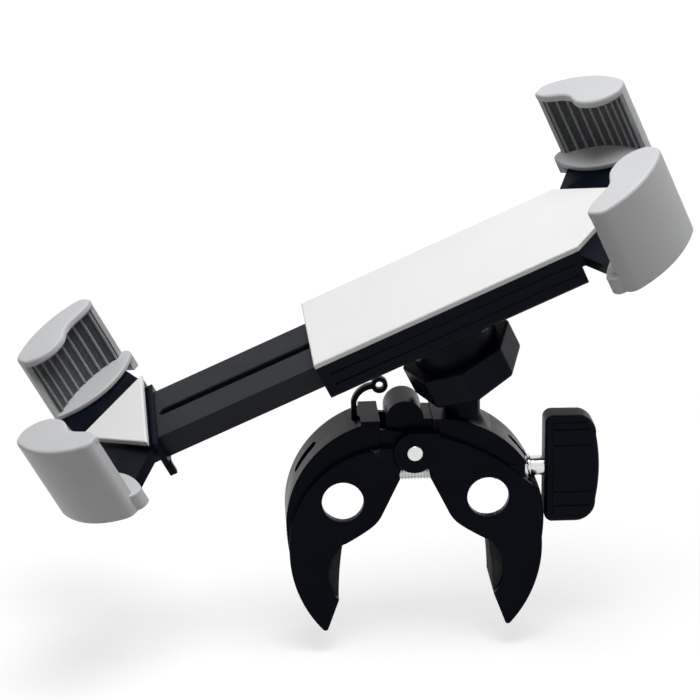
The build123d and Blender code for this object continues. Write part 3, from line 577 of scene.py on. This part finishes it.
def collar(black):
    """The thin collar round the rail behind the left head, with a foot on one side."""
    turn = Matrix(((0, 0, 1, 0), (1, 0, 0, 0), (0, 1, 0, 0), (0, 0, 0, 1)))
    outer = box_outline(-COLLAR_HALF, COLLAR_HALF, COLLAR_LOW, COLLAR_HIGH)
    hole = [(-HOLE_HALF, HOLE_LOW), (-HOLE_HALF, HOLE_HIGH), (HOLE_HALF, HOLE_HIGH), (HOLE_HALF, HOLE_LOW)]
    foot = box_outline(-COLLAR_HALF, -COLLAR_HALF + FOOT_WIDTH, FOOT_LOW, HOLE_LOW)
    bands = [plate([outer, hole], HEAD_BACK, -118.2, 0.3, turn), plate([foot], HEAD_BACK, -117.6, 0.3, turn)]
    piece("collar_band", bands, black, CRADLE, "slider", "black_nylon", "rail_collar")


# Clamp: the knob, the walls between the cheeks and rims, and the cuts in the jaws

SCREW_LEVEL = -12.6
KNOB_NEAR, KNOB_FAR, KNOB_HALF = 52.7, 74.8, 22.75
KNOB_BOW, KNOB_NEAR_R, KNOB_FAR_R = 1.3, 3.5, 9.0
WING_HALF, PANEL_LOW, PANEL_HALF = 5.8, 5.2, 6.5
NOTCH_LOW, NOTCH_TOP = -17.9, -7.3
STEP_DEPTH, LIP_DEPTH, THROUGH = (9.6, 12.2), (12.0, 15.03), (-15.3, 15.3)
CHEEK_DEPTH = (11.9, 15.3)
WINDOW_R, WINDOW_LEVEL, WINDOW_OUT = 8.35, -19.5, 28.9
VIEW_RISE = 0.405
JAWS = (("left_jaw", -1, 0.042, "swinging_jaw"), ("right_jaw", 1, 0.112, "clamp_base"))


def knob(black):
    """A wing with a bowed outer side and raised panels on both faces."""
    x0, x1, near, far = KNOB_NEAR, KNOB_FAR, KNOB_NEAR_R, KNOB_FAR_R
    low, high = SCREW_LEVEL - KNOB_HALF, SCREW_LEVEL + KNOB_HALF
    mid, bow = SCREW_LEVEL, x1 - KNOB_BOW
    wing = arc((x0, low + near), (x0 + near * 0.3, low + near * 0.3), (x0 + near, low), 6)
    wing += arc((x1 - far, low), (bow - far * 0.25, low + far * 0.28), (bow, low + far), 8)
    wing += arc((bow, low + far), (x1, mid), (bow, high - far), 10)
    wing += arc((bow, high - far), (bow - far * 0.25, high - far * 0.28), (x1 - far, high), 8)
    wing += arc((x0 + near, high), (x0 + near * 0.3, high - near * 0.3), (x0, high - near), 6)
    parts = [plate([wing], -WING_HALF, WING_HALF, 1.6)]
    edges = [low + rise for rise in (3.4, 7.0, 7.9, 12.9, 13.8)]
    edges += [high - drop for drop in (12.8, 11.9, 6.0, 5.1, 3.0)]
    for y0, y1 in zip(edges[::2], edges[1::2]):
        panel = box_outline(x0 + 3.2, x1 - 3.6, y0, y1)
        parts += [plate([panel], PANEL_LOW, PANEL_HALF, 0.35), plate([panel], -PANEL_HALF, -PANEL_LOW, 0.35)]
    piece("knob_wing", parts, black, PIVOT, "screw", "black_nylon", "knob")


def step_walls(black):
    """Closes the crescent between each cheek's edge and its rim, as one moulding."""
    left = arc((-13.6, 12.4), (-40.2, -1.9), (-51.0, -30.0), 20)
    left += arc((-47.4, -37.0), (-34.6, -10.8), (-13.6, -1.0), 20) + [(-13.6, -1.0)]
    piece("left_step", [plate([left], *STEP_DEPTH, 0.3)], black, PIVOT, "swinging_jaw", "black_nylon")
    outside = mirrored(arc((-9.0, 12.4), (-40.2, -1.9), (-51.0, -30.0), 20) + [(-47.4, -37.0)])
    wall = arc((11.0, -1.0), (34.6, -10.8), (47.4, -37.0), 20) + outside
    lip = arc((47.0, -36.0), (48.6, -36.2), (49.7, -34.6), 4) + [(49.1, -17.9)]
    lip += arc((49.1, -17.9), (28.0, -1.3), (6.6, 7.5), 20) + [(6.6, 7.5)]
    lip += arc((8.0, 2.2), (34.6, -10.8), (46.6, -34.0), 20)
    parts = [plate([part], *STEP_DEPTH, 0.3) for part in (above(wall, NOTCH_TOP), below(wall, NOTCH_LOW))]
    parts.append(plate([lip], *LIP_DEPTH, 0.3))
    piece("right_step", parts, black, PIVOT, "clamp_base", "black_nylon")


def round_edges(turned):
    """Cutters that round a jaw's knee, the corner above its pad and its tip; outlines are the left jaw's."""
    knee = arc((-13.43, -25.76), (-15.36, -28.69), (-17.95, -31.06), 8)
    knee += [(-17.95, -31.06), (-17, -33), (-11, -30), (-12.4, -25.7)]
    corner = ring(-26.8, -42.2, 5.0, 48)
    tip = arc((-35.81, -74.10), (-36.71, -74.87), (-37.83, -74.49), 8)
    tip += [(-37.83, -74.49), (-40, -76), (-40, -78), (-33, -78), (-33, -75)]
    depths = ((knee, CHEEK_DEPTH), (corner, CHEEK_DEPTH), (tip, THROUGH))
    return [plate([turned(outline)], *depth, 0.0) for outline, depth in depths]


def jaws(black):
    """The CAD jaws, with rounded edges, open windows and a notch round the screw's shank."""
    for name, side, aside, body in JAWS:
        slant = Matrix(((1, 0, -aside, 0), (0, 1, VIEW_RISE, 0), (0, 0, 1, 0), (0, 0, 0, 1)))
        start = Matrix.Translation((side * WINDOW_OUT, WINDOW_LEVEL, 12.1))
        cuts = [plate([ring(0, 0, WINDOW_R)], -30.0, 0.0, 0.0, start @ slant)]
        if side > 0:
            cuts.append(box_plate(44.0, 60.0, NOTCH_LOW, NOTCH_TOP, -6.3, 12.05))
        cuts += round_edges(mirrored if side > 0 else list)
        carved(name, body, "black_nylon", black, cuts, PIVOT)


# Studio

LAMP_TARGET = (0, 0, 0.08)
WORLD_LIGHT = 0.17
FLOOR_DROP = 0.0105


def floor_material():
    """Pale floor that shows as white to the camera and in reflections, and keeps the shadow."""
    f = Finish("floor_pale")
    f.colour(f.noise(3.0, 3.0), (0.38, 0.38, 0.38), (0.40, 0.40, 0.40))
    f.shader.inputs["Roughness"].default_value = 0.8
    f.shader.inputs["Specular IOR Level"].default_value = 0.1
    reach = f.add("ShaderNodeVectorMath", operation="LENGTH")
    f.link(f.coords, reach.inputs[0])
    glow = f.spread(reach.outputs["Value"], 0.70, 1.0, start=0.3, end=1.2)
    path = f.add("ShaderNodeLightPath")
    seen = f.add("ShaderNodeMath", operation="MAXIMUM")
    f.link(path.outputs["Is Camera Ray"], seen.inputs[0])
    f.link(path.outputs["Is Glossy Ray"], seen.inputs[1])
    strength = f.add("ShaderNodeMath", operation="MULTIPLY")
    f.link(seen.outputs[0], strength.inputs[0])
    f.link(glow, strength.inputs[1])
    f.shader.inputs["Emission Color"].default_value = (1, 1, 1, 1)
    f.link(strength.outputs[0], f.shader.inputs["Emission Strength"])
    return f.material


def floor(z):
    """The floor, low enough for the jaw that swings below the mount as the clamp closes."""
    bpy.ops.mesh.primitive_plane_add(size=8.0, location=(0, 0, z))
    plane = bpy.context.object
    plane.name = "floor"
    plane.data.materials.append(floor_material())
    plane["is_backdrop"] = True


def soft_light(name, place, size, power):
    light = bpy.data.lights.new(name, "AREA")
    light.shape = "RECTANGLE"
    light.size, light.size_y = size
    light.energy = power
    lamp = bpy.data.objects.new(name, light)
    bpy.context.collection.objects.link(lamp)
    lamp.location = place
    lamp.rotation_euler = (Vector(LAMP_TARGET) - Vector(place)).to_track_quat("-Z", "Y").to_euler()


def world():
    """White to the camera and in reflections, and a dimmer grey as light."""
    w = bpy.data.worlds.new("studio")
    bpy.context.scene.world = w
    w.use_nodes = True
    tree = w.node_tree
    light, seen = tree.nodes["Background"], tree.nodes.new("ShaderNodeBackground")
    light.inputs["Color"].default_value = (1, 1, 1, 1)
    light.inputs["Strength"].default_value = WORLD_LIGHT
    seen.inputs["Color"].default_value = (1, 1, 1, 1)
    seen.inputs["Strength"].default_value = 1.0
    path, mix = tree.nodes.new("ShaderNodeLightPath"), tree.nodes.new("ShaderNodeMixShader")
    either = tree.nodes.new("ShaderNodeMath")
    either.operation = "MAXIMUM"
    tree.links.new(path.outputs["Is Camera Ray"], either.inputs[0])
    tree.links.new(path.outputs["Is Glossy Ray"], either.inputs[1])
    tree.links.new(either.outputs[0], mix.inputs["Fac"])
    tree.links.new(light.outputs[0], mix.inputs[1])
    tree.links.new(seen.outputs[0], mix.inputs[2])
    tree.links.new(mix.outputs[0], tree.nodes["World Output"].inputs["Surface"])


# Camera: turned and raised as the photograph was taken

CAMERA_PLACE = Vector((-0.0652, -0.8514, 0.3708))
CAMERA_TURN = math.radians(2.762)
CAMERA_DROP = math.radians(18.176)
CAMERA_ROLL = math.radians(-1.152)
FOCAL_PIXELS = 2276.0
FRAME_PIXELS = 700.0


def camera():
    data = bpy.data.cameras.new("camera")
    data.sensor_width = 36.0
    data.lens = data.sensor_width * FOCAL_PIXELS / FRAME_PIXELS
    cam = bpy.data.objects.new("camera", data)
    bpy.context.collection.objects.link(cam)
    turn, drop = CAMERA_TURN, CAMERA_DROP
    ahead = Vector((math.sin(turn) * math.cos(drop), math.cos(turn) * math.cos(drop), -math.sin(drop)))
    right = Vector((math.cos(turn), -math.sin(turn), 0.0))
    up = right.cross(ahead)
    level = Matrix((right, up, -ahead)).transposed()
    turned = (level @ Matrix.Rotation(CAMERA_ROLL, 3, "Z")).to_4x4()
    cam.matrix_world = Matrix.Translation(CAMERA_PLACE) @ turned
    bpy.context.scene.camera = cam


def lights():
    soft_light("key", (0.0, -0.30, 1.0), (0.5, 0.5), 6.9)
    soft_light("top", (0.25, -0.05, 1.25), (0.7, 0.5), 3.9)
    soft_light("side", (-1.1, -0.35, 0.35), (0.25, 0.9), 0.4)


dress()
floor(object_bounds()[0][2] - FLOOR_DROP)
world()
lights()
camera()
bpy.context.scene.view_settings.view_transform = "Standard"
